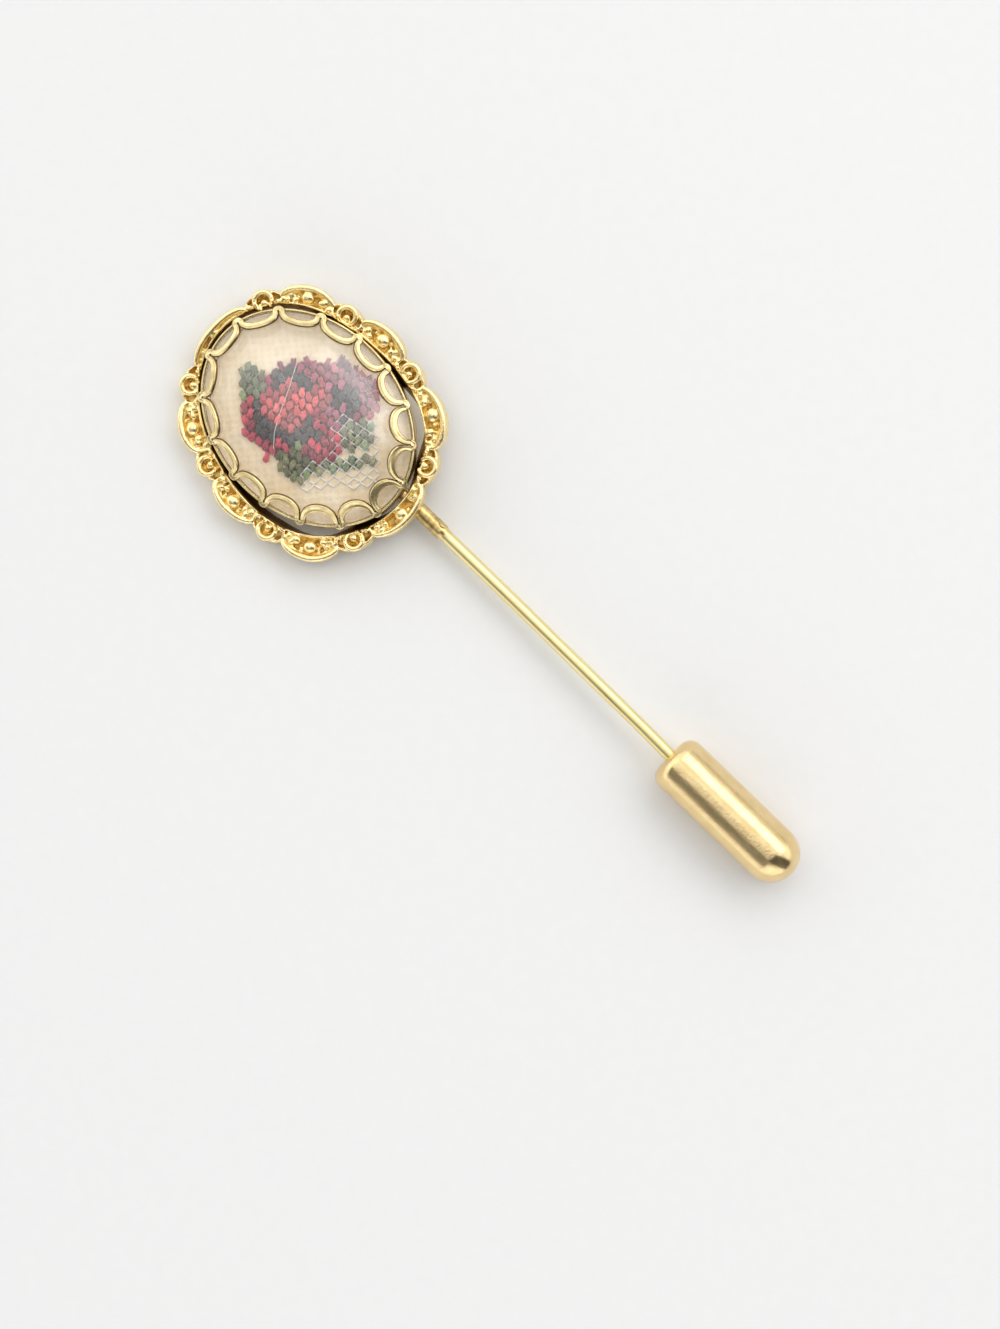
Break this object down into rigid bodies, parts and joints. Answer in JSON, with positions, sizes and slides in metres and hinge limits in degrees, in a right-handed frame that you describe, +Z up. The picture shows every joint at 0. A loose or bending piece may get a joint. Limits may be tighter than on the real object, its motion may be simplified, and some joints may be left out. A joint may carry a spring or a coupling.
{
  "type": "stick pin",
  "caption": "Stick pin: oval petit point rose under domed glass in a lace-edge bezel and cast scalloped frame, on a straight wire with a sliding bullet clutch.",
  "frame": {"origin": "centre of the bounding box in plan, on the surface that the pin lies on", "axes": "+X along the wire from the head to the clutch, +Z up, the front of the head facing up"},
  "size_m": [0.0644, 0.02, 0.0054],
  "materials": {
    "bright_gold": "polished gold plate, cast texture in the hollows",
    "clear_glass": "clear, lightly scratched",
    "stitched_cloth": "cream even-weave with wool or silk stitches",
    "pale_gold": "satin to polished pale gold plate"
  },
  "bodies": {
    "head": {"setting": "bright_gold", "domed_glass": "clear_glass", "petit_point": "stitched_cloth"},
    "clutch": {"bullet_clutch": "pale_gold"}
  },
  "joints": [
    {"name": "clutch_slide", "type": "slide", "parent": "head", "child": "clutch", "axis": [0.9992, 0, 0.039], "range_m": [0, 0.018]}
  ]
}
